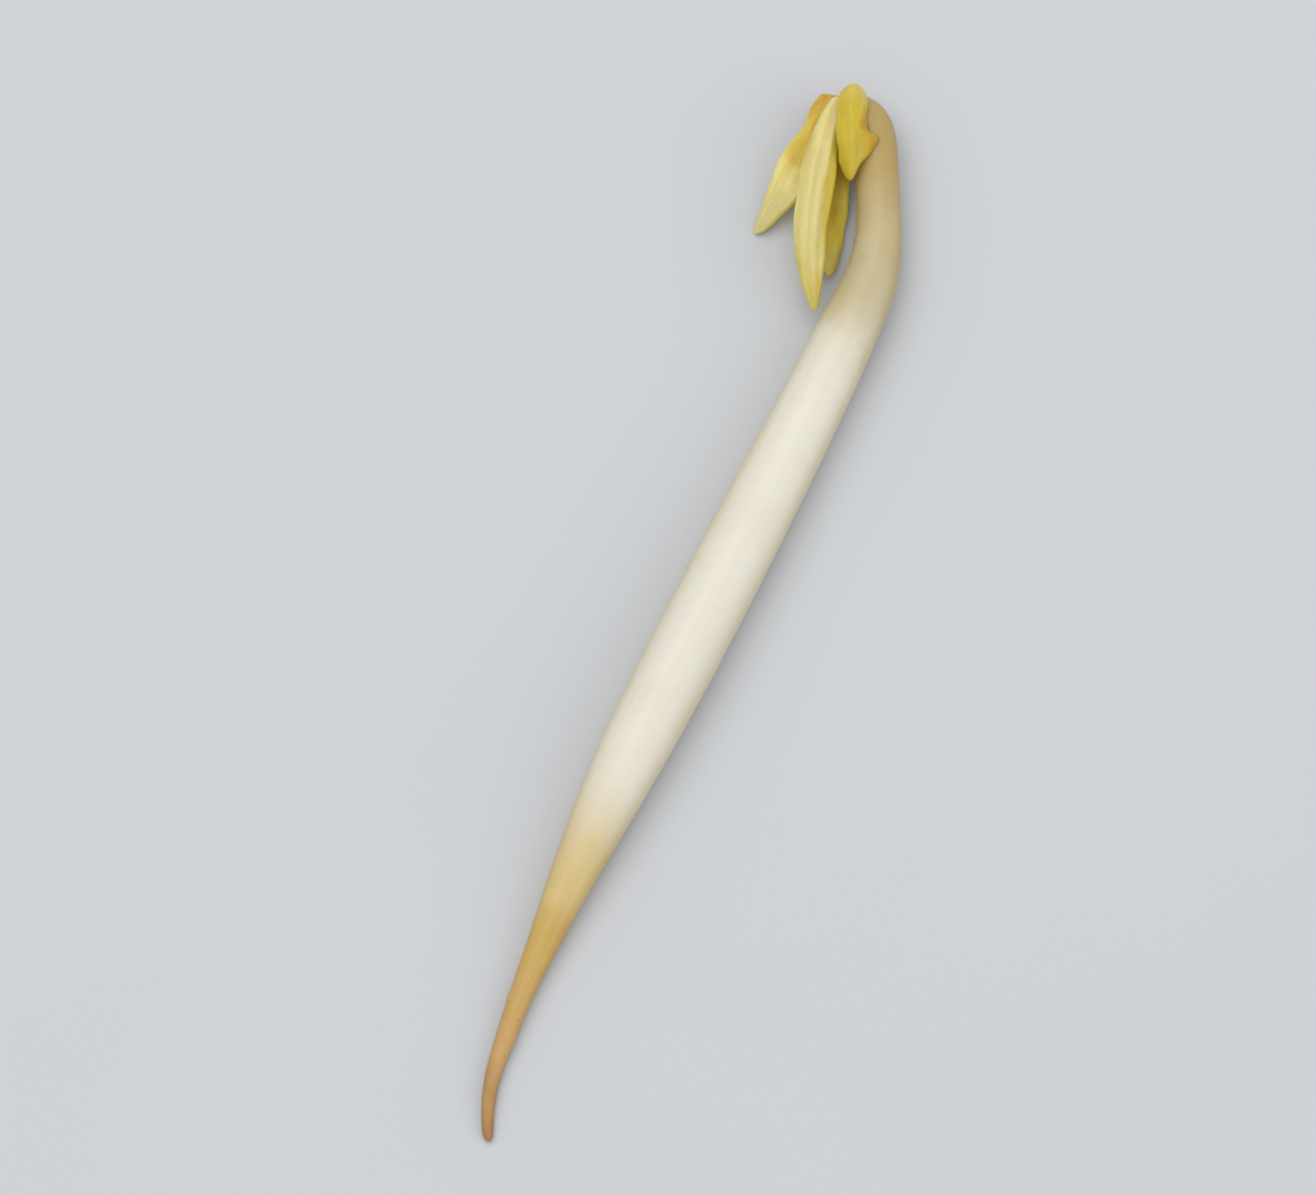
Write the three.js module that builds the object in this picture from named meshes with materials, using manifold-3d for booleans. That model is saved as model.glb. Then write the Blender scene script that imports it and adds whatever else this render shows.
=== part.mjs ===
// A mung bean sprout lying on a flat surface. One pale stem runs from the root tip through the thick
// white shaft and the hooked neck to the shoot tip, where two seed leaves and two first leaves grow.
// Millimetres, +Z up. The stem runs along +Y with its head at +Y, and the leaves hang on the -X side.
// The origin is on the surface, under the middle of the sprout.
import * as THREE from "three";
import { mergeVertices } from "three/addons/utils/BufferGeometryUtils.js";
import Module from "manifold-3d";

// Driving dimensions, in millimetres and degrees.
const SHAFT_DIAMETER = 3.7;
const NECK_DIAMETER = 2.3;
const ROOT_DIAMETER = 2.3;
const TAIL_DIAMETER = 1.35;
const ROOT_TIP_DIAMETER = 0.5;
const NODE_DIAMETER = 2.2;
const SHOOT_TIP_DIAMETER = 1.05;
const HOOK_RADIUS = 2.3;
const NODE_TURN = 35;
const TIP_TURN = 30;
const FLAT_DEPTH = 0.12;
const CLEARANCE = 0.12;

// How finely the bodies are drawn.
const STEM_SIDES = 16;
const STEM_RINGS = 72;
const LEAF_SIDES = 12;
const LEAF_RINGS = 20;
const LINE_STEP = 0.2;

const radians = THREE.MathUtils.degToRad;
const wasm = await Module();
wasm.setup();

// The sections of the stem from the root tip upward: the length, the turn to the left, and the
// thickness and the height of the axis where the section ends.
const SECTIONS = [
  { length: 4.2, turn: -26, diameter: 0.9, height: 0.47 },
  { length: 4.6, turn: -4, diameter: TAIL_DIAMETER, height: 0.72 },
  { length: 5.2, turn: -2, diameter: ROOT_DIAMETER, height: 1.2 },
  { length: 4.9, turn: -2, diameter: 3.2, height: 1.56 },
  { length: 7, turn: -1, diameter: SHAFT_DIAMETER, height: SHAFT_DIAMETER / 2 - FLAT_DEPTH },
  { length: 13, turn: 1, diameter: 3.45, height: 1.68 },
  { length: 7.8, turn: 1, diameter: 2.95, height: 1.72 },
  { length: 4.4, turn: 26, diameter: NECK_DIAMETER, height: 1.85 },
  { length: 4.1, turn: 5, diameter: NECK_DIAMETER, height: 1.95 },
  { length: HOOK_RADIUS * radians(NODE_TURN), turn: NODE_TURN, diameter: NODE_DIAMETER, height: 2.0 },
  { length: HOOK_RADIUS * radians(TIP_TURN), turn: TIP_TURN, diameter: 1.3, height: 2.0 },
  { length: 0.3, turn: 5, diameter: SHOOT_TIP_DIAMETER, height: 1.95 },
];
const START_HEADING = 34;

// The stem's axis, walked section by section, and its thickness and height along the way.
const axisPoints = [new THREE.Vector3(0, 0, 0)];
const stations = [0];
const stationValues = [ROOT_TIP_DIAMETER, ROOT_TIP_DIAMETER / 2];
let heading = radians(START_HEADING);
let stemLength = 0;
for (const section of SECTIONS) {
  const steps = Math.ceil(section.length / LINE_STEP);
  const step = section.length / steps;
  for (let i = 0; i < steps; i++) {
    heading += radians(section.turn) / steps;
    const onward = new THREE.Vector3(-Math.sin(heading), Math.cos(heading), 0);
    axisPoints.push(axisPoints.at(-1).clone().addScaledVector(onward, step));
  }
  stemLength += section.length;
  stations.push(stemLength);
  stationValues.push(section.diameter, section.height);
}
const axis = new THREE.CatmullRomCurve3(axisPoints);
const profile = new THREE.CubicInterpolant(stations, stationValues, 2, new Float32Array(2));
const shootTip = axisPoints.at(-1);

// A closed body drawn out of a sphere. place() takes how far along the body a point is, from 0 to 1,
// and its direction across and up the section, and gives back where the point lies.
function grown(sides, rings, place) {
  const geometry = new THREE.SphereGeometry(1, sides, rings);
  geometry.rotateY(Math.PI / sides);
  const position = geometry.attributes.position;
  const point = new THREE.Vector3();
  for (let i = 0; i < position.count; i++) {
    point.fromBufferAttribute(position, i);
    const ring = Math.hypot(point.x, point.z);
    const scale = ring < 1e-6 ? 0 : 1 / ring;
    const placed = place((point.y + 1) / 2, point.x * scale, point.z * scale);
    position.setXYZ(i, placed.x, placed.y, placed.z);
  }
  geometry.deleteAttribute("normal");
  geometry.deleteAttribute("uv");
  return mergeVertices(geometry, 1e-4);
}

// How full a round-ended body is at a distance from its end.
function roundedEnd(distance, reach) {
  const left = 1 - Math.min(distance / reach, 1);
  return Math.sqrt(1 - left * left);
}

// The stem, with a thickness added all round, lying with its underside pressed flat on the surface.
function stemBody(added) {
  return grown(STEM_SIDES, STEM_RINGS, (t, across, up) => {
    const [diameter, height] = profile.evaluate(t * stemLength);
    const centre = axis.getPointAt(t);
    const onward = axis.getTangentAt(t);
    const side = new THREE.Vector3(onward.y, -onward.x, 0);
    const ends = roundedEnd(t * stemLength, 0.5) * roundedEnd((1 - t) * stemLength, 0.7);
    const radius = (diameter / 2 + added) * ends;
    const placed = centre.clone().addScaledVector(side, across * radius);
    placed.addScaledVector(onward, added * (2 * t - 1));
    placed.z = Math.max(height + up * radius, -added);
    return placed;
  });
}

// The leaves. Each runs from its base through a bend to its tip, given from the shoot tip and with
// the height over the surface. Face is the way that its upper side looks, and hollow is how far its edges
// rise to that side. Fullest is how far along it is widest, stalk is the share of the width left at its
// base, point is how sharply its tip is drawn in, wave is how far its edges rise and fall, and flap is how
// much further its right side reaches at the middle, to clasp the hook.
const LEAVES = {
  cotyledon_outer: {
    base: [2.41, -3.44, 2.6], bend: [1.37, -1.29, 4.4], tip: [0.45, 0.87, 3.15],
    face: [0.1, 0, 1], width: 1.55, thickness: 0.9, hollow: -0.25,
    fullest: 0.6, stalk: 0, point: -0.7, wave: 0.06, flap: 1.25,
    color: 0xd8c23a, roughness: 0.5,
  },
  cotyledon_inner: {
    base: [1.03, -0.9, 1.3], bend: [1.47, -4.99, 0.5], tip: [3.63, -7.98, 0.8],
    face: [0.3, 0.2, 1], width: 1.85, thickness: 0.9, hollow: 0.3,
    fullest: 0.6, stalk: 0.5, point: 0.3, wave: 0.08, flap: 0,
    color: 0xc3ac2a, roughness: 0.5,
  },
  first_leaf_long: {
    base: [0.16, 0.24, 2.2], bend: [0.62, -5.69, 4.0], tip: [3.75, -10.22, 1.7],
    face: [0.15, 0.15, 1], width: 1.85, thickness: 0.65, hollow: -0.2,
    fullest: 0.58, stalk: 0.42, point: 0.35, wave: 0.14, flap: 0,
    color: 0xe8dda0, roughness: 0.45,
  },
  first_leaf_short: {
    base: [-0.4, 0.29, 1.8], bend: [-0.04, -3.45, 2.3], tip: [-0.88, -7.55, 0.13],
    face: [-0.2, 0.1, 1], width: 1.9, thickness: 0.65, hollow: 0.2,
    fullest: 0.55, stalk: 0.5, point: 0.25, wave: 0.14, flap: 0,
    color: 0xe0c860, roughness: 0.45,
  },
};

// A leaf's share of its full width along its length: narrow at the stalk, full, then drawn in to its tip.
function leafFullness(leaf, t) {
  if (t < leaf.fullest) {
    const before = 1 - t / leaf.fullest;
    return leaf.stalk + (1 - leaf.stalk) * Math.sqrt(1 - before * before);
  }
  const after = (t - leaf.fullest) / (1 - leaf.fullest);
  return Math.sqrt(Math.max(1 - after * after, 0)) * (1 - leaf.point * after * after);
}

// A leaf's flap along its length: it swells slowly from the base and ends in a notch.
function leafFlap(leaf, t) {
  const middle = 0.39;
  const reach = t < middle ? 0.19 : 0.09;
  return leaf.flap * Math.exp(-(((t - middle) / reach) ** 4));
}

// A leaf bent along its line, hollow across its width, with a thickness added all round.
function leafBody(leaf, added) {
  const corner = ([x, y, z]) => new THREE.Vector3(shootTip.x + x, shootTip.y + y, z);
  const line = new THREE.QuadraticBezierCurve3(corner(leaf.base), corner(leaf.bend), corner(leaf.tip));
  const face = new THREE.Vector3(...leaf.face);
  return grown(LEAF_SIDES, LEAF_RINGS, (t, across, up) => {
    const onward = line.getTangent(t);
    const side = onward.clone().cross(face).normalize();
    const upward = side.clone().cross(onward);
    const full = leafFullness(leaf, t);
    const spread = across > 0 ? leafFlap(leaf, t) : 0;
    const waved = leaf.wave * Math.sin(10 * t + 1.9 * across) - 0.4 * spread;
    const rise = leaf.hollow * (across * across - 0.5) + waved * across * across;
    const thick = (leaf.thickness / 2) * Math.sqrt(full) + added;
    const placed = line.getPoint(t);
    placed.addScaledVector(onward, added * (2 * t - 1));
    placed.addScaledVector(side, across * (full * (1 + spread) * leaf.width / 2 + added));
    placed.addScaledVector(upward, up * thick + rise * full);
    return placed;
  });
}

// Joining and cutting.
function solidOf(geometry) {
  return new wasm.Manifold(new wasm.Mesh({
    numProp: 3,
    vertProperties: Float32Array.from(geometry.attributes.position.array),
    triVerts: Uint32Array.from(geometry.index.array),
  }));
}

function geometryOf(solid) {
  const mesh = solid.getMesh();
  const geometry = new THREE.BufferGeometry();
  geometry.setAttribute("position", new THREE.BufferAttribute(Float32Array.from(mesh.vertProperties), 3));
  geometry.setIndex(new THREE.BufferAttribute(Uint32Array.from(mesh.triVerts), 1));
  return geometry;
}

// The pieces, each leaf cut back by the clearance from the stem and the leaves before it.
const sprout = new THREE.Group();

function addPiece(name, geometry, color, roughness) {
  const material = new THREE.MeshStandardMaterial({ color, roughness, metalness: 0 });
  const mesh = new THREE.Mesh(geometry, material);
  mesh.name = name;
  sprout.add(mesh);
}

addPiece("stem", stemBody(0), 0xe8e4d6, 0.35);
const taken = [solidOf(stemBody(CLEARANCE))];
for (const [name, leaf] of Object.entries(LEAVES)) {
  const cut = taken.reduce((rest, other) => rest.subtract(other), solidOf(leafBody(leaf, 0)));
  addPiece(name, geometryOf(cut), leaf.color, leaf.roughness);
  taken.push(solidOf(leafBody(leaf, CLEARANCE)));
}

// The part, moved so that the origin is on the surface under its middle.
const part = new THREE.Group();
part.name = "mung_bean_sprout";
part.add(sprout);
const box = new THREE.Box3().setFromObject(sprout);
const middle = box.getCenter(new THREE.Vector3());
sprout.position.set(-middle.x, -middle.y, -box.min.z);

export default part;
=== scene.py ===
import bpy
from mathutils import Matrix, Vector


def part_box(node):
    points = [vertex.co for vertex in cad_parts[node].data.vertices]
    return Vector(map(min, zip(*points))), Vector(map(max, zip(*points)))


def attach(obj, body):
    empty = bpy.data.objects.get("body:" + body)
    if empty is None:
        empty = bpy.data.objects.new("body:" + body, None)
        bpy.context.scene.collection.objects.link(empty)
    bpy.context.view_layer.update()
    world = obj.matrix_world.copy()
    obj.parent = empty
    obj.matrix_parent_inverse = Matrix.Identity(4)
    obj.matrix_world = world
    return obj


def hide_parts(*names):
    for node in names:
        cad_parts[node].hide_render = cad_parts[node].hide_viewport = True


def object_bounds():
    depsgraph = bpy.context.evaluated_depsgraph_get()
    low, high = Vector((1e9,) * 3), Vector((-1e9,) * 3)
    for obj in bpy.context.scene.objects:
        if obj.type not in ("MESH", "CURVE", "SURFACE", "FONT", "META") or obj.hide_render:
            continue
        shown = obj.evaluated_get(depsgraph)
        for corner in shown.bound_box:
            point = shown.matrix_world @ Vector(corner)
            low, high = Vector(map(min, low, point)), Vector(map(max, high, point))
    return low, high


bl_info = {
    "name": "Mung Bean Sprout",
    "version": (1, 0, 0),
    "blender": (4, 5, 0),
    "location": "3D View > Sidebar > Sprout",
    "description": "Grows a mung bean sprout over its frame: stem, cotyledons and first leaves",
    "category": "Add Mesh",
}

import math
from collections import namedtuple

import bmesh
import bpy
from bpy.props import FloatProperty, FloatVectorProperty, PointerProperty
from mathutils import Matrix, Vector, noise

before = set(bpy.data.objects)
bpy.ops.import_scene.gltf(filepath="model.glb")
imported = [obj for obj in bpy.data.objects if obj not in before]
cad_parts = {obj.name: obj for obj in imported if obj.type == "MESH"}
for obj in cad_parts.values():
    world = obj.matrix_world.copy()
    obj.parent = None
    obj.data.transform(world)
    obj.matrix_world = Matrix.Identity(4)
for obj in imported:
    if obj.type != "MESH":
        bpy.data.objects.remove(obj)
CAD_BOX = [list(corner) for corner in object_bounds()]

MM = 0.001

Section = namedtuple("Section", "length turn width height")
Station = namedtuple("Station", "along point heading radius")
Ripple = namedtuple("Ripple", "height across along shift")
Leaf = namedtuple(
    "Leaf", "base bend tip face width thickness hollow fullest stalk point flap ribs wave sunk")
Tint = namedtuple("Tint", "base main tip rim patch patch_side patch_along patch_width patch_length veins")
Softbox = namedtuple("Softbox", "size right up over power tint")

# How finely the pieces are drawn: the sides round the stem, the most between its rings in millimetres, the
# sides and rings of a leaf, and how often each skin is then smoothed.
STEM_SIDES = 36
STEM_STEP = 0.25
LEAF_SIDES = 40
LEAF_RINGS = 56
SKIN_LEVELS = 1

# The stem's heading at the root tip, in degrees to the left of +Y.
START_HEADING = 34
# How far the rounding of its two ends reaches, and where more rings draw it, in millimetres from an end.
ROOT_ROUNDING = 0.5
SHOOT_ROUNDING = 0.7
END_RINGS = (0.02, 0.07, 0.15, 0.35)
# The length of stem that one unit of its map covers, in millimetres.
GRAIN_LENGTH = 10

# The unevenness of the stem's skin: its height as a share, how often it changes round the stem and along it,
# and a shift that sets it apart from the others. Lumps are all over the stem. Ribs and rings are on the root
# and fade out at their reach from its tip, in millimetres.
SLOW_LUMPS = Ripple(1.0, 0.8, 0.22, (0, 0))
QUICK_LUMPS = Ripple(0.45, 1.6, 0.7, (7, 0))
ROOT_RIBS = Ripple(0.025, 3.2, 0.35, (0, 3))
ROOT_RINGS = Ripple(0.03, 0.0, 1.7, (0.3, 11))
ROOT_REACH = 19

# Where the side roots start to show: place along the root, angle round it, height and reach.
SIDE_ROOTS = (
    (5.2, 2.7, 0.1, 0.21),
    (7.3, 0.5, 0.12, 0.25),
    (9.4, 2.2, 0.08, 0.225),
    (12.1, 0.9, 0.07, 0.25),
)

# The creases on the inside of the neck's bend: place along the stem, depth and reach.
NECK_CREASES = (
    (47.5, 0.04, 0.144),
    (48.4, 0.07, 0.168),
    (49.3, 0.05, 0.144),
    (50.3, 0.04, 0.144),
    (52.6, 0.03, 0.12),
)

# The stem's colours from the root tip on: share of the length, and the colour's name in the settings. The
# root's tan and the bend's and neck's creams are partly their own colour and partly painted shade.
STEM_COLOURS = (
    (0.0, "tip_brown"),
    (0.08, "tail_brown"),
    (0.18, "root_tan_and_shade"),
    (0.24, "root_peach"),
    (0.36, "shaft_cream"),
    (0.7, "shaft_cream"),
    (0.83, "bend_cream_and_shade"),
    (0.89, "neck_cream_and_shade"),
    (0.955, "node_tan"),
    (1.0, "shoot_yellow"),
)
# How far the borders of these colours wander along the stem, in millimetres, and the shares of the length
# between which the root's brown marks set in.
BORDER_WANDER = 1.2
ROOT_BROWNING = (0.34, 0.06)

# The leaves, in millimetres: base, bend and tip from the shoot tip with the height over the floor, the way
# the upper side looks, how far the edges rise to it, and the outline. Sunk is the share of the length that is
# hidden in the stem.
COTYLEDONS = {
    "cotyledon_outer": Leaf(
        base=(2.41, -3.44, 2.6), bend=(1.37, -1.29, 4.4), tip=(0.45, 0.87, 3.15), face=(0.1, 0, 1),
        width=1.55, thickness=0.9, hollow=-0.25, fullest=0.6, stalk=0.0, point=-0.7,
        flap=1.25, ribs=0.0, wave=0.06, sunk=0.0),
    "cotyledon_inner": Leaf(
        base=(1.03, -0.9, 1.3), bend=(1.47, -4.99, 0.5), tip=(3.63, -7.98, 0.8), face=(0.3, 0.2, 1),
        width=1.85, thickness=0.9, hollow=0.3, fullest=0.6, stalk=0.5, point=0.3,
        flap=0.0, ribs=0.0, wave=0.08, sunk=0.12),
}
FIRST_LEAVES = {
    "first_leaf_long": Leaf(
        base=(0.16, 0.24, 2.2), bend=(0.62, -5.69, 4.0), tip=(3.75, -10.22, 1.7), face=(0.15, 0.15, 1),
        width=1.85, thickness=0.65, hollow=-0.2, fullest=0.58, stalk=0.42, point=0.35,
        flap=0.0, ribs=0.06, wave=0.14, sunk=0.05),
    "first_leaf_short": Leaf(
        base=(-0.4, 0.29, 1.8), bend=(-0.04, -3.45, 2.3), tip=(-0.88, -7.55, 0.13), face=(-0.2, 0.1, 1),
        width=1.9, thickness=0.65, hollow=0.2, fullest=0.55, stalk=0.5, point=0.25,
        flap=0.0, ribs=0.05, wave=0.14, sunk=0.07),
}
# How far behind the shoot tip the leaves' sunk bases end, in millimetres.
HEEL_DEPTH = 1.0

# A leaf's flap: its middle along the leaf, its reach before and after that, how far its edge droops, and the
# depth, place across and width of the fold at its foot.
FLAP_MIDDLE = 0.39
FLAP_RISE = 0.19
FLAP_NOTCH = 0.09
FLAP_DROOP = 0.4
FOLD_DEPTH = 0.2
FOLD_PLACE = 0.35
FOLD_WIDTH = 0.2

# A leaf's surface: the waves of its edges, the ribs that run down it in a slow swing, the groove over its
# midrib, which is shallower behind, and how often its dents and its wrinkles change across, along and through
# the leaf.
WAVE_ALONG = 10
WAVE_ACROSS = 1.9
RIBS_ACROSS = 8.5
RIBS_SWING = 1.6
RIBS_SWING_ALONG = 4
GROOVE_WIDTH = 0.14
GROOVE_BEHIND = 0.4
DENTS_ACROSS = 1.6
DENTS_ALONG = 4.2
WRINKLES_ACROSS = 4.0
WRINKLES_ALONG = 9.0
WRINKLES_THROUGH = 0.4

# A leaf's outline: how far it sways to its sides, how soon after its base, and how ragged and toothed its
# edges are.
SWAY = 0.12
SWAY_ALONG = 3.0
SWAY_SHIFT = 2.0
SWAY_START = 3
RAGGED = 0.1
RAGGED_ALONG = 5.5
TEETH = 0.025
TEETH_ALONG = 31
TEETH_ACROSS = 3

# Each leaf's colours, by their names in the settings, where its patch of another colour lies, and how clear
# its veins are. The patch has its middle across the leaf, from -1 to 1, and along it, then its half width and
# half length.
TINTS = {
    "cotyledon_outer": Tint("yellow", "yellow", "lime", "gold", "orange", 0.9, 0.45, 0.5, 0.3, 0.0),
    # The inner cotyledon's patch is painted shade.
    "cotyledon_inner": Tint("yellow", "olive", "lime", "gold", "painted_shade_patch", -0.1, 0.42, 0.6, 0.24, 0.05),
    "first_leaf_long": Tint("lemon", "cream", "lime", "lime", "yellow", -1.0, 0.38, 0.75, 0.4, 0.14),
    "first_leaf_short": Tint("orange", "lemon", "cream", "lime", "gold", -0.1, 0.34, 1.3, 0.28, 0.14),
}
# How a patch fades from its middle out, and how much it covers.
PATCH_FADE = (0.15, 1.25)
PATCH_COVER = 0.95

# The mottle's darker and lighter patches, and the roughness of the skins over them.
MOTTLE_RANGE = (0.3, 0.75)
STEM_ROUGHNESS = (0.36, 0.48)
ROOT_DULLNESS = 0.06
LEAF_ROUGHNESS = (0.42, 0.6)

# The light: each softbox's size, its place from the sprout's middle to the right and the top of the picture
# and upward, in metres, its power and its colour, and then the light of the air.
SOFTBOXES = {
    "key": Softbox(0.5, -0.1, 0.12, 0.48, 1.55, (1.0, 0.98, 0.95)),
    "fill": Softbox(0.4, 0.4, -0.1, 0.3, 0.5, (0.97, 0.98, 1.0)),
}
AIR_COLOUR = (0.95, 0.97, 1.0, 1.0)
AIR_STRENGTH = 0.58

# The floor's half width in metres, and the share of its colour that is left in its faint clouds.
FLOOR_REACH = 1.5
CLOUD_SHADE = 0.97

# The picture's width and height in pixels, and the camera's sensor in millimetres.
PICTURE_WIDTH = 1316
PICTURE_HEIGHT = 1195
SENSOR_WIDTH = 36.0

# The numbers of a mix node's sockets: its factor and its two colours, and the mixed colour.
MIX_INPUTS = (0, 6, 7)
MIX_OUTPUT = 2
# The steps from one node to the next in the node editor.
COLUMN_STEP = -240
ROW_STEP = -280


def linear(red, green, blue):
    """A colour as seen on a screen, 0 to 255, as the light values that shaders use."""
    def channel(value):
        value /= 255
        return value / 12.92 if value <= 0.04045 else ((value + 0.055) / 1.055) ** 2.4
    return channel(red), channel(green), channel(blue)


def length_prop(name, description, millimetres):
    return FloatProperty(name=name, description=description, default=millimetres * MM, min=0.0, precision=4,
                         subtype="DISTANCE", unit="LENGTH")


def angle_prop(name, description, degrees):
    return FloatProperty(name=name, description=description, default=math.radians(degrees), subtype="ANGLE",
                         unit="ROTATION")


def colour_prop(name, description, *screen):
    return FloatVectorProperty(name=name, description=description, default=linear(*screen), size=3, min=0.0,
                               max=1.0, subtype="COLOR")


class StemSettings(bpy.types.PropertyGroup):
    shaft: length_prop("Shaft", "Thickness of the white shaft where it is fullest", 3.7)
    neck: length_prop("Neck", "Thickness of the neck under the hook", 2.3)
    root: length_prop("Root", "Thickness of the tan root below the shaft", 2.3)
    tail: length_prop("Tail", "Thickness of the root's thin tail", 1.35)
    root_tip: length_prop("Root tip", "Thickness of the root at its tip", 0.5)
    node: length_prop("Node", "Thickness of the hook where the cotyledons grow", 2.2)
    shoot_tip: length_prop("Shoot tip", "Thickness of the shoot where the first leaves grow", 1.05)
    hook_radius: length_prop("Hook radius", "Radius of the hook's axis", 2.3)
    node_turn: angle_prop("Node turn", "How far the hook turns before the node", 35)
    tip_turn: angle_prop("Tip turn", "How far the hook turns after the node", 30)
    flat: length_prop("Flat", "How far the underside is pressed flat", 0.12)
    unevenness: FloatProperty(
        name="Unevenness", description="How lumpy the stem is, as a share of its thickness",
        default=0.02, min=0.0, max=0.2, subtype="FACTOR")
    tip_brown: colour_prop("Root tip", "Colour of the root's tip", 156, 116, 70)
    tail_brown: colour_prop("Tail", "Colour of the root's thin tail", 194, 160, 104)
    # The root's tan is partly its own colour and partly painted shade, darkened as where it lay in shade.
    root_tan_and_shade: colour_prop("Root", "Colour of the root", 201, 171, 96)
    root_peach: colour_prop("Root top", "Colour of the root under the shaft", 213, 192, 136)
    shaft_cream: colour_prop("Shaft", "Colour of the shaft", 226, 222, 209)
    # The bend's and neck's colours are partly their own and partly painted shade, darker as if shaded.
    bend_cream_and_shade: colour_prop("Bend", "Colour of the bend under the neck", 196, 184, 148)
    neck_cream_and_shade: colour_prop("Neck", "Colour of the neck", 188, 170, 124)
    node_tan: colour_prop("Node", "Colour of the hook where the cotyledons grow", 182, 159, 98)
    shoot_yellow: colour_prop("Shoot tip", "Colour of the shoot where the first leaves grow", 196, 174, 84)
    watery: colour_prop("Watery", "Tint of the faint streaks and patches", 232, 219, 184)
    ring_tan: colour_prop("Rings", "Tint of the faint rings", 226, 208, 164)
    # Painted shade: the flanks and underside are darkened and warmed as shade would do.
    flank_painted_shade: colour_prop("Flanks", "Tint of the flanks and the underside", 226, 208, 160)
    scuff_brown: colour_prop("Scuffs", "Colour of the root's brown streaks", 168, 124, 66)
    speck_brown: colour_prop("Specks", "Colour of the root's specks", 140, 98, 52)


class LeafSettings(bpy.types.PropertyGroup):
    groove: length_prop("Midrib groove", "Depth of the groove over a first leaf's midrib", 0.08)
    crumple: length_prop("Crumple", "How far the leaves are bent out of shape", 0.14)
    wrinkle: length_prop("Wrinkle", "Height of the leaves' wrinkles", 0.05)
    yellow: colour_prop("Yellow", "Main colour of the outer cotyledon", 198, 175, 46)
    olive: colour_prop("Olive", "Main colour of the inner cotyledon", 216, 194, 60)
    # Painted shade: a darker patch on the inner cotyledon, where it lay in shade.
    painted_shade_patch: colour_prop("Shade", "Dark patch on the inner cotyledon", 198, 172, 34)
    gold: colour_prop("Gold", "Colour of cotyledon rims and of the short leaf's upper part", 204, 176, 50)
    orange: colour_prop("Orange", "Patches at the node and at the short leaf's base", 192, 146, 40)
    lime: colour_prop("Lime", "Colour of tips and rims that are half grown", 200, 182, 88)
    lemon: colour_prop("Lemon", "Main colour of the short leaf", 230, 214, 140)
    cream: colour_prop("Cream", "Main colour of the long leaf", 209, 196, 130)
    pale_streak: colour_prop("Pale streaks", "Colour of the leaves' pale streaks", 240, 234, 196)
    vein: colour_prop("Veins", "Colour of the leaves' veins", 240, 233, 190)


class StageSettings(bpy.types.PropertyGroup):
    floor: colour_prop("Floor", "Colour of the floor", 200, 203, 207)
    elevation: angle_prop("Elevation", "How far over the floor the camera looks down from", 80)
    lean: angle_prop("Lean", "How far the stem leans to the right in the picture", 26.5)
    view_height: length_prop("View height", "Height of the picture at the sprout", 60)
    lens: FloatProperty(name="Lens", description="Focal length in millimetres", default=135.0, min=20.0)


class SproutSettings(bpy.types.PropertyGroup):
    stem: PointerProperty(type=StemSettings, name="Stem", description="Sizes and colours of the stem")
    leaves: PointerProperty(type=LeafSettings, name="Leaves", description="Sizes and colours of the leaves")
    stage: PointerProperty(type=StageSettings, name="Stage", description="Floor, light and camera")


# The stem's line.


def stem_sections(stem):
    """Each stretch from the root tip up, in millimetres and degrees.

    It has a length, a turn to the left, and the thickness and the height of the axis where it ends.
    """
    shaft = stem.shaft / MM
    hook = stem.hook_radius / MM
    return (
        Section(4.2, -26, 0.9, 0.47),
        Section(4.6, -4, stem.tail / MM, 0.72),
        Section(5.2, -2, stem.root / MM, 1.2),
        Section(4.9, -2, 3.2, 1.56),
        Section(7.0, -1, shaft, shaft / 2 - stem.flat / MM),
        Section(13.0, 1, 3.45, 1.68),
        Section(7.8, 1, 2.95, 1.72),
        Section(4.4, 26, stem.neck / MM, 1.85),
        Section(4.1, 5, stem.neck / MM, 1.95),
        Section(hook * stem.node_turn, math.degrees(stem.node_turn), stem.node / MM, 2.0),
        Section(hook * stem.tip_turn, math.degrees(stem.tip_turn), 1.3, 2.0),
        Section(0.3, 5, stem.shoot_tip / MM, 1.95),
    )


def stem_length(stem):
    return sum(section.length for section in stem_sections(stem))


def way_onward(heading):
    """The level direction of a heading, which is measured to the left of +Y."""
    return Vector((-math.sin(heading), math.cos(heading), 0))


def way_right(heading):
    """The level direction to the right of a heading."""
    return Vector((math.cos(heading), math.sin(heading), 0))


def smooth_value(places, values, at):
    """A value between stations that are unevenly spaced, on a curve through all of them."""
    last = len(places) - 1
    i = max(k for k in range(last) if k == 0 or places[k] <= at)
    chord = [(values[k + 1] - values[k]) / (places[k + 1] - places[k]) for k in range(last)]
    span = places[i + 1] - places[i]
    slope_in = (chord[max(i - 1, 0)] + chord[i]) / 2 * span
    slope_out = (chord[i] + chord[min(i + 1, last - 1)]) / 2 * span
    p = (at - places[i]) / span
    return (values[i] * (2 * p**3 - 3 * p**2 + 1) + slope_in * (p**3 - 2 * p**2 + p)
            + values[i + 1] * (3 * p**2 - 2 * p**3) + slope_out * (p**3 - p**2))


def rounded_end(distance, reach):
    """How full a round-ended body is at a distance from its end."""
    left = 1 - min(distance / reach, 1)
    return math.sqrt(max(1 - left * left, 0))


def stem_line(stem):
    """The level axis walked from the root tip: distance, point and heading. The bare ends are left out."""
    heading = math.radians(START_HEADING)
    walked, along = Vector((0, 0, 0)), 0.0
    line = [(along, walked.copy(), heading)]
    for section in stem_sections(stem):
        steps = math.ceil(section.length / STEM_STEP)
        for _ in range(steps):
            heading += math.radians(section.turn) / steps
            walked += way_onward(heading) * section.length / steps
            along += section.length / steps
            line.append((along, walked.copy(), heading))
    total = stem_length(stem)
    first_heading = line[0][2]
    for gap in END_RINGS:
        line.append((gap, way_onward(first_heading) * gap, first_heading))
        line.append((total - gap, walked - way_onward(heading) * gap, heading))
    line.sort(key=lambda entry: entry[0])
    return line[1:-1]


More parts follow.
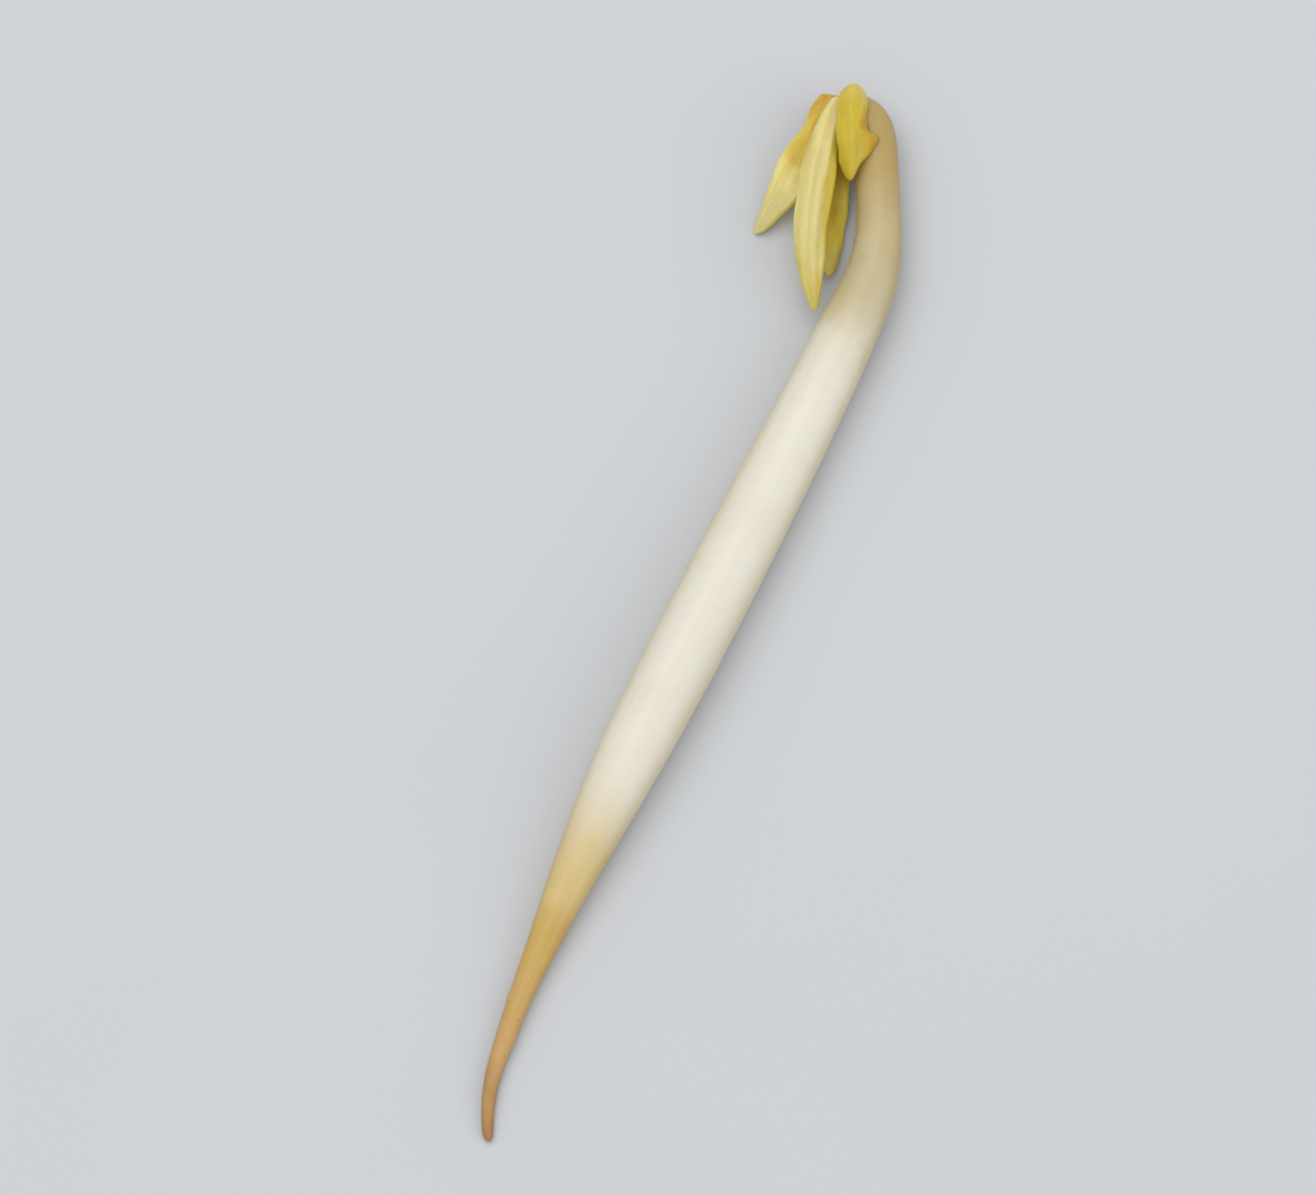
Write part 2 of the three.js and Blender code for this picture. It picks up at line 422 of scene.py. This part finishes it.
def stem_stations(stem):
    """Stations along the stem's axis, root tip first, in millimetres and in the frame of the drawing."""
    places, widths, heights = [0.0], [stem.root_tip / MM], [stem.root_tip / MM / 2]
    for section in stem_sections(stem):
        places.append(places[-1] + section.length)
        widths.append(section.width)
        heights.append(section.height)
    stations = []
    for along, point, heading in stem_line(stem):
        ends = rounded_end(along, ROOT_ROUNDING) * rounded_end(places[-1] - along, SHOOT_ROUNDING)
        height = smooth_value(places, heights, along)
        radius = smooth_value(places, widths, along) / 2 * ends
        stations.append(Station(along, point + Vector((0, 0, height)), heading, radius))
    return stations


def to_frame(stations):
    """The move that takes the drawing into the frame, the drawn stem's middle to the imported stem's middle."""
    low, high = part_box("stem")
    drawn = []
    for station in stations:
        side = way_right(station.heading) * station.radius
        drawn += [station.point - side, station.point + side]
    move = Vector((0, 0, 0))
    for i in range(2):
        mine = (min(point[i] for point in drawn) + max(point[i] for point in drawn)) / 2
        move[i] = (low[i] + high[i]) / 2 / MM - mine
    return move


def ring_matrix(station):
    """Places a unit circle as the stem's section at a station."""
    left = -way_right(station.heading)
    turned = Matrix((left, Vector((0, 0, 1)), way_onward(station.heading))).transposed().to_4x4()
    sized = Matrix.Diagonal((station.radius, station.radius, 1, 1))
    return Matrix.Translation(station.point) @ turned @ sized


# The stem's skin.


def ripple_height(ripple, rim, along):
    """How high a ripple of the skin is, at a point of the unit circle and a distance along the stem."""
    shift_left, shift_up = ripple.shift
    place = (rim.x * ripple.across + shift_left, rim.y * ripple.across + shift_up, along * ripple.along)
    return ripple.height * noise.noise(Vector(place))


def stem_swell(along, angle, radius, uneven):
    """How far the stem's skin stands out of its round section."""
    rim = Vector((math.cos(angle), math.sin(angle), 0))
    lumps = ripple_height(SLOW_LUMPS, rim, along) + ripple_height(QUICK_LUMPS, rim, along)
    furrows = ripple_height(ROOT_RIBS, rim, along) + ripple_height(ROOT_RINGS, rim, along)
    rootward = max(0.0, 1 - along / ROOT_REACH)
    swell = radius * uneven * lumps + radius * rootward * furrows
    for place, at, height, reach in SIDE_ROOTS:
        off = math.remainder(angle - at, math.tau) * radius
        swell += height * math.exp(-((along - place) ** 2 + off ** 2) / reach ** 2)
    inner = max(0.0, math.cos(angle)) ** 2
    for place, depth, reach in NECK_CREASES:
        swell -= depth * inner * math.exp(-((along - place) / reach) ** 2)
    return swell


def finish_piece(name, bm, material, node):
    """Makes a drawing in millimetres a mesh object, which stands for a node of the frame."""
    bmesh.ops.recalc_face_normals(bm, faces=bm.faces)
    bmesh.ops.scale(bm, vec=(MM, MM, MM), verts=bm.verts)
    mesh = bpy.data.meshes.new(name)
    bm.to_mesh(mesh)
    bm.free()
    mesh.shade_smooth()
    piece = bpy.data.objects.new(name, mesh)
    bpy.context.scene.collection.objects.link(piece)
    mesh.materials.append(material)
    smoother = piece.modifiers.new("Smooth skin", "SUBSURF")
    smoother.levels = smoother.render_levels = SKIN_LEVELS
    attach(piece, "root")
    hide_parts(node)


def draw_stem(stations):
    """A circle drawn out from station to station, and the number of its ring on each vertex."""
    bm = bmesh.new()
    ring_layer = bm.verts.layers.int.new("ring")
    bmesh.ops.create_circle(bm, segments=STEM_SIDES, radius=1.0, matrix=ring_matrix(stations[0]))
    edges = bm.edges[:]
    bmesh.ops.edgeloop_fill(bm, edges=edges)
    for index, (before, station) in enumerate(zip(stations, stations[1:]), 1):
        made = bmesh.ops.extrude_edge_only(bm, edges=edges)["geom"]
        ring = [item for item in made if isinstance(item, bmesh.types.BMVert)]
        edges = [item for item in made if isinstance(item, bmesh.types.BMEdge)
                 and all(vert in ring for vert in item.verts)]
        bmesh.ops.transform(bm, matrix=ring_matrix(station) @ ring_matrix(before).inverted(), verts=ring)
        for vert in ring:
            vert[ring_layer] = index
    bmesh.ops.edgeloop_fill(bm, edges=edges)
    return bm


def grow_stem(settings):
    """The stem in one piece, with its skin uneven and its underside pressed flat on the floor."""
    stem = settings.stem
    stations = stem_stations(stem)
    move = to_frame(stations)
    bm = draw_stem(stations)
    along_layer = bm.verts.layers.float.new("along")
    shade_under_layer = bm.verts.layers.float.new("under")
    ring_layer = bm.verts.layers.int["ring"]
    grain = bm.loops.layers.uv.new("grain")
    turns = {}
    for vert in bm.verts:
        station = stations[vert[ring_layer]]
        local = ring_matrix(station).inverted() @ vert.co
        angle = math.atan2(local.y, local.x)
        turns[vert] = angle / math.tau
        vert[along_layer] = station.along
        # 0 on top, 1 underneath; the stem's material paints shade on the flanks and underside from this.
        vert[shade_under_layer] = (1 - math.sin(angle)) / 2
        swell = stem_swell(station.along, angle, station.radius, stem.unevenness)
        vert.co += (vert.co - station.point).normalized() * swell
        vert.co += move
        vert.co.z = max(vert.co.z, 0.0)
    for face in bm.faces:
        first = turns[face.loops[0].vert]
        for loop in face.loops:
            turn = turns[loop.vert]
            turn -= round(turn - first)
            loop[grain].uv = (turn, loop.vert[along_layer] / GRAIN_LENGTH)
    finish_piece("stem_skin", bm, stem_material(stem), "stem")


# The leaves.


def leaf_fullness(leaf, t):
    """A leaf's share of its full width: narrow at the stalk, full, then drawn in to its tip."""
    if t < 0:
        return leaf.stalk * rounded_end(t + leaf.sunk, leaf.sunk)
    if t < leaf.fullest:
        before = 1 - t / leaf.fullest
        return leaf.stalk + (1 - leaf.stalk) * math.sqrt(1 - before * before)
    after = (t - leaf.fullest) / (1 - leaf.fullest)
    return math.sqrt(max(1 - after * after, 0)) * (1 - leaf.point * after * after)


def leaf_line(leaf, tip, heel, t):
    """The point and the direction at a share of a leaf's bent line. Before its base it runs to its heel."""
    base, bend, end = (Vector((tip.x + x, tip.y + y, z)) for x, y, z in (leaf.base, leaf.bend, leaf.tip))
    if t < 0:
        inward = -t / leaf.sunk
        onward = (bend - base).normalized().lerp((base - heel).normalized(), inward)
        return base.lerp(heel, inward), onward.normalized()
    point = base * (1 - t) ** 2 + bend * 2 * t * (1 - t) + end * t * t
    return point, ((bend - base) * (1 - t) + (end - bend) * t).normalized()


def leaf_flap(leaf, t):
    """How much further a leaf's right side reaches: it swells slowly from the base and ends in a notch."""
    reach = FLAP_RISE if t < FLAP_MIDDLE else FLAP_NOTCH
    return leaf.flap * math.exp(-((t - FLAP_MIDDLE) / reach) ** 4)


def leaf_rise(leaf, leaves, t, across, up, spread):
    """How far a point of a leaf's skin is lifted off the flat leaf."""
    seed = leaf.bend[0]
    waved = leaf.wave * math.sin(WAVE_ALONG * t + WAVE_ACROSS * across) - FLAP_DROOP * spread
    rise = leaf.hollow * (across * across - 0.5) + waved * across * across
    rise -= FOLD_DEPTH * spread * math.exp(-((across - FOLD_PLACE) / FOLD_WIDTH) ** 2)
    if leaf.ribs:
        swing = RIBS_SWING * math.sin(RIBS_SWING_ALONG * t)
        depth = leaves.groove / MM * (1 if up > 0 else GROOVE_BEHIND)
        rise += leaf.ribs * math.cos(across * RIBS_ACROSS + swing)
        rise -= depth * math.exp(-(across / GROOVE_WIDTH) ** 2)
    dents = noise.noise(Vector((across * DENTS_ACROSS, t * DENTS_ALONG, seed)))
    through = seed + up * WRINKLES_THROUGH
    wrinkles = noise.noise(Vector((across * WRINKLES_ACROSS, t * WRINKLES_ALONG, through)))
    return rise + leaves.crumple / MM * dents + leaves.wrinkle / MM * wrinkles * up


def leaf_skin(leaf, leaves, tip, heel, t, across, up):
    """Where a point of a leaf's skin lies, from its place along, across and through the leaf."""
    point, onward = leaf_line(leaf, tip, heel, t)
    side = onward.cross(Vector(leaf.face)).normalized()
    upward = side.cross(onward)
    full = leaf_fullness(leaf, t)
    spread = leaf_flap(leaf, t) if across > 0 else 0.0
    rise = leaf_rise(leaf, leaves, t, across, up, spread)
    seed = leaf.bend[0]
    sway = SWAY * noise.noise(Vector((t * SWAY_ALONG, SWAY_SHIFT, seed))) * min(1, SWAY_START * t)
    ragged = 1 + RAGGED * noise.noise(Vector((t * RAGGED_ALONG, across, seed)))
    ragged += TEETH * math.sin(t * TEETH_ALONG + TEETH_ACROSS * across)
    width = leaf.width / 2 * full * (1 + spread) * ragged
    thick = leaf.thickness / 2 * math.sqrt(full)
    return point + side * (across * width + sway) + upward * (up * thick + rise * full)


def grow_leaf(name, leaf, settings):
    """A leaf drawn out of a sphere, with its base sunk into the stem."""
    stations = stem_stations(settings.stem)
    move = to_frame(stations)
    tip = stations[-1].point + move
    base = Vector((tip.x + leaf.base[0], tip.y + leaf.base[1], leaf.base[2]))
    rooted = [station for station in stations if station.along < stations[-1].along - HEEL_DEPTH]
    heel = min((station.point + move for station in rooted), key=lambda point: (point - base).length)
    bend_from_base = Vector(leaf.bend) - Vector(leaf.base)
    tip_from_bend = Vector(leaf.tip) - Vector(leaf.bend)
    length = bend_from_base.length + tip_from_bend.length
    bm = bmesh.new()
    bmesh.ops.create_uvsphere(bm, u_segments=LEAF_SIDES, v_segments=LEAF_RINGS, radius=1.0)
    along_layer = bm.verts.layers.float.new("along")
    side_layer = bm.verts.layers.float.new("side")
    grain = bm.loops.layers.uv.new("grain")
    flat = {}
    for vert in bm.verts:
        ring = math.hypot(vert.co.x, vert.co.y)
        across, up = (vert.co.x / ring, vert.co.y / ring) if ring > 1e-5 else (0.0, 0.0)
        t = -leaf.sunk + (1 + leaf.sunk) * (vert.co.z + 1) / 2
        vert.co = leaf_skin(leaf, settings.leaves, tip, heel, t, across, up)
        vert.co.z = max(vert.co.z, 0.0)
        vert[along_layer] = max(t, 0.0)
        vert[side_layer] = across
        flat[vert] = (across * leaf.width / 2, t * length)
    for face in bm.faces:
        for loop in face.loops:
            loop[grain].uv = flat[loop.vert]
    material = leaf_material(name, TINTS[name], settings.leaves)
    finish_piece(name + "_skin", bm, material, name)


# Shader nodes.


def feed(tree, value, socket):
    """Links a socket to another one, or sets it to a plain number or colour."""
    if isinstance(value, bpy.types.NodeSocket):
        tree.links.new(value, socket)
    elif socket.type == "RGBA":
        socket.default_value = (*value, 1.0)
    else:
        socket.default_value = value


def add_node(tree, kind, inputs=None, **settings):
    node = tree.nodes.new(kind)
    for key, value in settings.items():
        setattr(node, key, value)
    for key, value in (inputs or {}).items():
        feed(tree, value, node.inputs[key])
    return node


def lay_out(tree):
    """Sets the nodes in columns, each to the left of what it feeds."""
    column = {node.name: 0 for node in tree.nodes}
    for _ in tree.nodes:
        for link in tree.links:
            behind = column[link.to_node.name] + 1
            column[link.from_node.name] = max(column[link.from_node.name], behind)
    filled = {}
    for node in tree.nodes:
        row = filled.get(column[node.name], 0)
        filled[column[node.name]] = row + 1
        node.location = (COLUMN_STEP * column[node.name], ROW_STEP * row)


def do_math(tree, operation, *values):
    node = add_node(tree, "ShaderNodeMath", operation=operation)
    for value, socket in zip(values, node.inputs):
        feed(tree, value, socket)
    return node.outputs[0]


def remap(tree, value, source, target):
    """Eases a value from one range, as its first and last number, to another."""
    node = add_node(tree, "ShaderNodeMapRange", interpolation_type="SMOOTHSTEP")
    for number, socket in zip((value, *source, *target), node.inputs):
        feed(tree, number, socket)
    return node.outputs["Result"]


def mix_colour(tree, factor, first, second, blend="MIX"):
    node = add_node(tree, "ShaderNodeMix", data_type="RGBA", blend_type=blend, clamp_factor=True)
    for value, index in zip((factor, first, second), MIX_INPUTS):
        feed(tree, value, node.inputs[index])
    return node.outputs[MIX_OUTPUT]


def tinted(tree, colour, layers, blend="MIX"):
    """A colour under layers, each with a mask, the range over which it sets in, a strength and a colour."""
    for mask, source, strength, tint in layers:
        colour = mix_colour(tree, remap(tree, mask, source, (0.0, strength)), colour, tint, blend)
    return colour


def colour_ramp(tree, value, stops):
    """A colour that follows a value through stops: place and colour."""
    node = add_node(tree, "ShaderNodeValToRGB", {"Fac": value})
    node.color_ramp.interpolation = "EASE"
    elements = node.color_ramp.elements
    elements.remove(elements[-1])
    for index, (place, colour) in enumerate(stops):
        element = elements.new(place) if index else elements[0]
        element.position = place
        element.color = (*colour, 1.0)
    return node.outputs["Color"]


def attribute(tree, name):
    return add_node(tree, "ShaderNodeAttribute", attribute_name=name).outputs["Fac"]


def new_group(name, inputs, outputs):
    """An empty shader group: a vector and numbers go in, and numbers come out."""
    tree = bpy.data.node_groups.new(name, "ShaderNodeTree")
    tree.interface.new_socket("Vector", in_out="INPUT", socket_type="NodeSocketVector")
    for key, value in inputs.items():
        tree.interface.new_socket(key, in_out="INPUT", socket_type="NodeSocketFloat").default_value = value
    for key in outputs:
        tree.interface.new_socket(key, in_out="OUTPUT", socket_type="NodeSocketFloat")
    return tree, add_node(tree, "NodeGroupInput").outputs, add_node(tree, "NodeGroupOutput").inputs


def tissue_group():
    """Mottling, specks and a fine grain that all the plant's skins share."""
    name = "Plant tissue"
    if name in bpy.data.node_groups:
        return bpy.data.node_groups[name]
    tree, enter, leave = new_group(
        name, {"Patch Scale": 300.0, "Speck Scale": 1500.0}, ("Mottle", "Specks", "Grain"))
    vector = enter["Vector"]
    patches = add_node(tree, "ShaderNodeTexNoise", {
        "Vector": vector, "Scale": enter["Patch Scale"], "Detail": 4.0, "Roughness": 0.55})
    cells = add_node(tree, "ShaderNodeTexVoronoi", {"Vector": vector, "Scale": enter["Speck Scale"]})
    grain = add_node(tree, "ShaderNodeTexNoise", {
        "Vector": vector, "Scale": enter["Speck Scale"], "Detail": 3.0, "Roughness": 0.6})
    feed(tree, patches.outputs["Fac"], leave["Mottle"])
    feed(tree, remap(tree, cells.outputs["Distance"], (0.06, 0.18), (1.0, 0.0)), leave["Specks"])
    feed(tree, grain.outputs["Fac"], leave["Grain"])
    lay_out(tree)
    return tree


def streak_group():
    """Streaks drawn out along a skin's own map."""
    name = "Growth streaks"
    if name in bpy.data.node_groups:
        return bpy.data.node_groups[name]
    tree, enter, leave = new_group(name, {"Across": 30.0, "Along": 1.0}, ("Streak",))
    scale = add_node(tree, "ShaderNodeCombineXYZ", {"X": enter["Across"], "Y": enter["Along"]})
    stretched = add_node(tree, "ShaderNodeVectorMath", operation="MULTIPLY")
    feed(tree, enter["Vector"], stretched.inputs[0])
    feed(tree, scale.outputs["Vector"], stretched.inputs[1])
    drawn = add_node(tree, "ShaderNodeTexNoise", {
        "Vector": stretched.outputs["Vector"], "Scale": 1.0, "Detail": 5.0, "Roughness": 0.6})
    feed(tree, drawn.outputs["Fac"], leave["Streak"])
    lay_out(tree)
    return tree


def tissue(tree, patch_scale, speck_scale):
    space = add_node(tree, "ShaderNodeTexCoord").outputs["Object"]
    return add_node(tree, "ShaderNodeGroup", node_tree=tissue_group(), inputs={
        "Vector": space, "Patch Scale": patch_scale, "Speck Scale": speck_scale}).outputs


def streaks(tree, across, along):
    skin = add_node(tree, "ShaderNodeUVMap", uv_map="grain").outputs["UV"]
    return add_node(tree, "ShaderNodeGroup", node_tree=streak_group(), inputs={
        "Vector": skin, "Across": across, "Along": along}).outputs["Streak"]


def bump(tree, shader, height, depth, strength):
    """Raises a skin by a height, with its depth in millimetres."""
    node = add_node(tree, "ShaderNodeBump", {"Height": height, "Distance": depth * MM, "Strength": strength})
    feed(tree, node.outputs["Normal"], shader["Normal"])


# Materials.


def skin_material(name, scatter, radius, coat):
    """A moist, translucent skin, still without colour."""
    material = bpy.data.materials.new(name)
    material.use_nodes = True
    shader = material.node_tree.nodes["Principled BSDF"].inputs
    shader["IOR"].default_value = 1.38
    shader["Subsurface Weight"].default_value = scatter
    shader["Subsurface Radius"].default_value = radius
    shader["Subsurface Scale"].default_value = 1.3 * MM
    shader["Coat Weight"].default_value = coat
    shader["Coat Roughness"].default_value = 0.3
    return material, material.node_tree, shader


def stem_material(stem):
    material, tree, shader = skin_material("Sprout stem", scatter=0.8, radius=(1.0, 0.78, 0.45), coat=0.1)
    skin = tissue(tree, patch_scale=260.0, speck_scale=1700.0)
    fibres = streaks(tree, across=34.0, along=1.2)
    rings = streaks(tree, across=2.4, along=15.0)
    # Colour along the length, with an uneven border.
    border = remap(tree, skin["Mottle"], (0.3, 0.7), (-BORDER_WANDER, BORDER_WANDER))
    place = do_math(tree, "ADD", attribute(tree, "along"), border)
    share = do_math(tree, "DIVIDE", place, stem_length(stem))
    colour = colour_ramp(tree, share, [(stop, getattr(stem, key)) for stop, key in STEM_COLOURS])
    # Faint watery streaks, patches and rings, and painted shade that darkens and warms the flanks and
    # underside.
    colour = tinted(tree, colour, (
        (fibres, (0.4, 0.72), 0.1, stem.watery),
        (skin["Mottle"], (0.48, 0.75), 0.14, stem.watery),
        (rings, (0.63, 0.74), 0.12, stem.ring_tan),
        (attribute(tree, "under"), (0.06, 0.42), 0.6, stem.flank_painted_shade),
    ), "MULTIPLY")
    # Brown streaks and specks towards the root tip.
    rootward = remap(tree, share, ROOT_BROWNING, (0.0, 1.0))
    scuffs = do_math(tree, "MULTIPLY", rootward, remap(tree, fibres, (0.5, 0.68), (0.0, 0.16)))
    colour = mix_colour(tree, scuffs, colour, stem.scuff_brown)
    specks = do_math(tree, "MULTIPLY", rootward, do_math(tree, "MULTIPLY", skin["Specks"], 0.35))
    colour = mix_colour(tree, specks, colour, stem.speck_brown)
    feed(tree, colour, shader["Base Color"])
    # A satin skin, duller on the root.
    satin = remap(tree, skin["Mottle"], MOTTLE_RANGE, STEM_ROUGHNESS)
    feed(tree, do_math(tree, "MULTIPLY_ADD", rootward, ROOT_DULLNESS, satin), shader["Roughness"])
    height = do_math(tree, "MULTIPLY_ADD", fibres, 0.3, skin["Grain"])
    height = do_math(tree, "MULTIPLY_ADD", rings, 0.25, height)
    bump(tree, shader, height, depth=0.03, strength=0.3)
    lay_out(tree)
    return material


def leaf_veins(tree, spacing, slope, half_width, clearness, rib_edge):
    """A mask of side veins that leave the midrib at a slant, and of the midrib itself."""
    skin = add_node(tree, "ShaderNodeUVMap", uv_map="grain").outputs["UV"]
    place = add_node(tree, "ShaderNodeSeparateXYZ", {"Vector": skin}).outputs
    off = do_math(tree, "ABSOLUTE", place["X"])
    along = do_math(tree, "MULTIPLY_ADD", off, -slope, place["Y"])
    nearest = do_math(tree, "PINGPONG", along, spacing / 2)
    side = remap(tree, nearest, (0.0, half_width), (clearness, 0.0))
    rib = remap(tree, off, rib_edge, (1.0, 0.0))
    return do_math(tree, "MAXIMUM", side, rib)


def leaf_patch(tree, tint, uneven):
    """A mask of the patch of another colour on a leaf, with an uneven border."""
    squares = []
    for name, middle, reach in (("side", tint.patch_side, tint.patch_width),
                                ("along", tint.patch_along, tint.patch_length)):
        off = do_math(tree, "DIVIDE", do_math(tree, "SUBTRACT", attribute(tree, name), middle), reach)
        squares.append(do_math(tree, "MULTIPLY", off, off))
    distance = do_math(tree, "ADD", do_math(tree, "ADD", *squares), uneven)
    return remap(tree, distance, PATCH_FADE, (PATCH_COVER, 0.0))


def leaf_material(name, tint, leaves):
    title = name.replace("_", " ").capitalize()
    material, tree, shader = skin_material(title, scatter=0.7, radius=(1.0, 0.82, 0.28), coat=0.06)
    base, main, tip, rim, patch = (getattr(leaves, key) for key in tint[:5])
    skin = tissue(tree, patch_scale=700.0, speck_scale=3200.0)
    fibres = streaks(tree, across=3.2, along=0.22)
    uneven = remap(tree, skin["Mottle"], (0.25, 0.75), (-0.3, 0.3))
    # Colour along the leaf, then its rim, its streaks, its patch and its veins.
    share = do_math(tree, "MULTIPLY_ADD", uneven, 0.5, attribute(tree, "along"))
    colour = colour_ramp(tree, share, ((0.0, base), (0.35, main), (0.6, main), (0.95, tip)))
    edge = do_math(tree, "MULTIPLY_ADD", uneven, 0.6, do_math(tree, "ABSOLUTE", attribute(tree, "side")))
    colour = tinted(tree, colour, (
        (edge, (0.72, 1.05), 0.5, rim),
        (fibres, (0.48, 0.7), 0.32, rim),
        (fibres, (0.5, 0.3), 0.22, leaves.pale_streak),
    ))
    # The patch is the leaf's own colour, except on the inner cotyledon, where it is painted shade.
    colour = mix_colour(tree, leaf_patch(tree, tint, uneven), colour, patch)
    veins = leaf_veins(
        tree, spacing=0.85, slope=1.9, half_width=0.09, clearness=0.45, rib_edge=(0.02, 0.16))
    colour = mix_colour(tree, do_math(tree, "MULTIPLY", veins, tint.veins), colour, leaves.vein)
    feed(tree, colour, shader["Base Color"])
    feed(tree, remap(tree, skin["Mottle"], MOTTLE_RANGE, LEAF_ROUGHNESS), shader["Roughness"])
    height = do_math(tree, "MULTIPLY_ADD", fibres, 1.2, skin["Grain"])
    height = do_math(tree, "MULTIPLY_ADD", veins, -2 * tint.veins, height)
    bump(tree, shader, height, depth=0.05, strength=0.38)
    lay_out(tree)
    return material


def floor_material(colour):
    material = bpy.data.materials.new("Pale floor")
    material.use_nodes = True
    tree = material.node_tree
    shader = tree.nodes["Principled BSDF"].inputs
    shader["Roughness"].default_value = 0.75
    space = add_node(tree, "ShaderNodeTexCoord").outputs["Object"]
    clouds = add_node(tree, "ShaderNodeTexNoise", {"Vector": space, "Scale": 40.0, "Detail": 2.0})
    shaded = tuple(value * CLOUD_SHADE for value in colour)
    feed(tree, mix_colour(tree, clouds.outputs["Fac"], colour, shaded), shader["Base Color"])
    lay_out(tree)
    return material


# The stage.


def set_floor(scene, colour):
    bm = bmesh.new()
    bmesh.ops.create_grid(bm, x_segments=8, y_segments=8, size=FLOOR_REACH)
    mesh = bpy.data.meshes.new("floor")
    bm.to_mesh(mesh)
    bm.free()
    floor = bpy.data.objects.new("floor", mesh)
    scene.collection.objects.link(floor)
    mesh.materials.append(floor_material(colour))


def set_air(scene):
    world = bpy.data.worlds.new("Studio air")
    world.use_nodes = True
    air = world.node_tree.nodes["Background"].inputs
    air["Color"].default_value = AIR_COLOUR
    air["Strength"].default_value = AIR_STRENGTH
    scene.world = world


def set_softbox(scene, name, box, target, right, up):
    light = bpy.data.lights.new(name, "AREA")
    light.shape = "RECTANGLE"
    light.size = light.size_y = box.size
    light.energy = box.power
    light.color = box.tint
    lamp = bpy.data.objects.new(name, light)
    lamp.location = target + right * box.right + up * box.up + Vector((0, 0, box.over))
    lamp.rotation_euler = (target - lamp.location).to_track_quat("-Z", "Y").to_euler()
    scene.collection.objects.link(lamp)


def set_camera(scene, stage, target, right, up):
    """A camera that looks down on the sprout, from its foot, with the stem leaning to the right."""
    camera = bpy.data.cameras.new("camera")
    camera.lens = stage.lens
    camera.sensor_width = SENSOR_WIDTH
    camera.clip_start = 0.01
    view_width = stage.view_height * PICTURE_WIDTH / PICTURE_HEIGHT
    distance = view_width / camera.sensor_width * camera.lens
    back = Vector((0, 0, 1)) * math.sin(stage.elevation) - up * math.cos(stage.elevation)
    eye = bpy.data.objects.new("camera", camera)
    eye.location = target + back * distance
    eye.rotation_euler = Matrix((right, back.cross(right), back)).transposed().to_euler()
    scene.collection.objects.link(eye)
    scene.camera = eye


# Operators.


class SPROUT_OT_stem(bpy.types.Operator):
    """Grow the stem: root, shaft, neck and hook in one piece"""
    bl_idname = "sprout.grow_stem"
    bl_label = "Grow Stem"

    def execute(self, context):
        grow_stem(context.scene.sprout)
        return {"FINISHED"}


class SPROUT_OT_cotyledons(bpy.types.Operator):
    """Grow the fleshy cotyledons at the hook"""
    bl_idname = "sprout.grow_cotyledons"
    bl_label = "Grow Cotyledons"

    def execute(self, context):
        for name, leaf in COTYLEDONS.items():
            grow_leaf(name, leaf, context.scene.sprout)
        return {"FINISHED"}


class SPROUT_OT_first_leaves(bpy.types.Operator):
    """Grow the narrow first leaves at the shoot tip"""
    bl_idname = "sprout.grow_first_leaves"
    bl_label = "Grow First Leaves"

    def execute(self, context):
        for name, leaf in FIRST_LEAVES.items():
            grow_leaf(name, leaf, context.scene.sprout)
        return {"FINISHED"}


class SPROUT_OT_stage(bpy.types.Operator):
    """Set the floor, the studio light and the camera"""
    bl_idname = "sprout.set_stage"
    bl_label = "Set Stage"

    def execute(self, context):
        scene = context.scene
        stage = scene.sprout.stage
        low, high = (Vector(corner) for corner in CAD_BOX)
        target = (low + high) / 2
        right = way_right(stage.lean)
        up = way_onward(stage.lean)
        set_floor(scene, stage.floor)
        set_air(scene)
        for name, box in SOFTBOXES.items():
            set_softbox(scene, name, box, target, right, up)
        set_camera(scene, stage, target, right, up)
        scene.view_settings.view_transform = "Standard"
        return {"FINISHED"}


class SPROUT_PT_panel(bpy.types.Panel):
    """Lists the sprout's operators and settings"""
    bl_idname = "SPROUT_PT_panel"
    bl_label = "Mung Bean Sprout"
    bl_space_type = "VIEW_3D"
    bl_region_type = "UI"
    bl_category = "Sprout"

    def draw(self, context):
        for operator in OPERATORS:
            self.layout.operator(operator.bl_idname)
        settings = context.scene.sprout
        for group in (settings.stem, settings.leaves, settings.stage):
            box = self.layout.box()
            for key in group.__annotations__:
                box.prop(group, key)


OPERATORS = (SPROUT_OT_stem, SPROUT_OT_cotyledons, SPROUT_OT_first_leaves, SPROUT_OT_stage)
CLASSES = (StemSettings, LeafSettings, StageSettings, SproutSettings, *OPERATORS, SPROUT_PT_panel)


def register():
    for cls in CLASSES:
        bpy.utils.register_class(cls)
    bpy.types.Scene.sprout = PointerProperty(type=SproutSettings)


def unregister():
    del bpy.types.Scene.sprout
    for cls in reversed(CLASSES):
        bpy.utils.unregister_class(cls)


def main():
    register()
    bpy.ops.sprout.grow_stem()
    bpy.ops.sprout.grow_cotyledons()
    bpy.ops.sprout.grow_first_leaves()
    bpy.ops.sprout.set_stage()
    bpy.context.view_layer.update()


if __name__ == "__main__":
    main()
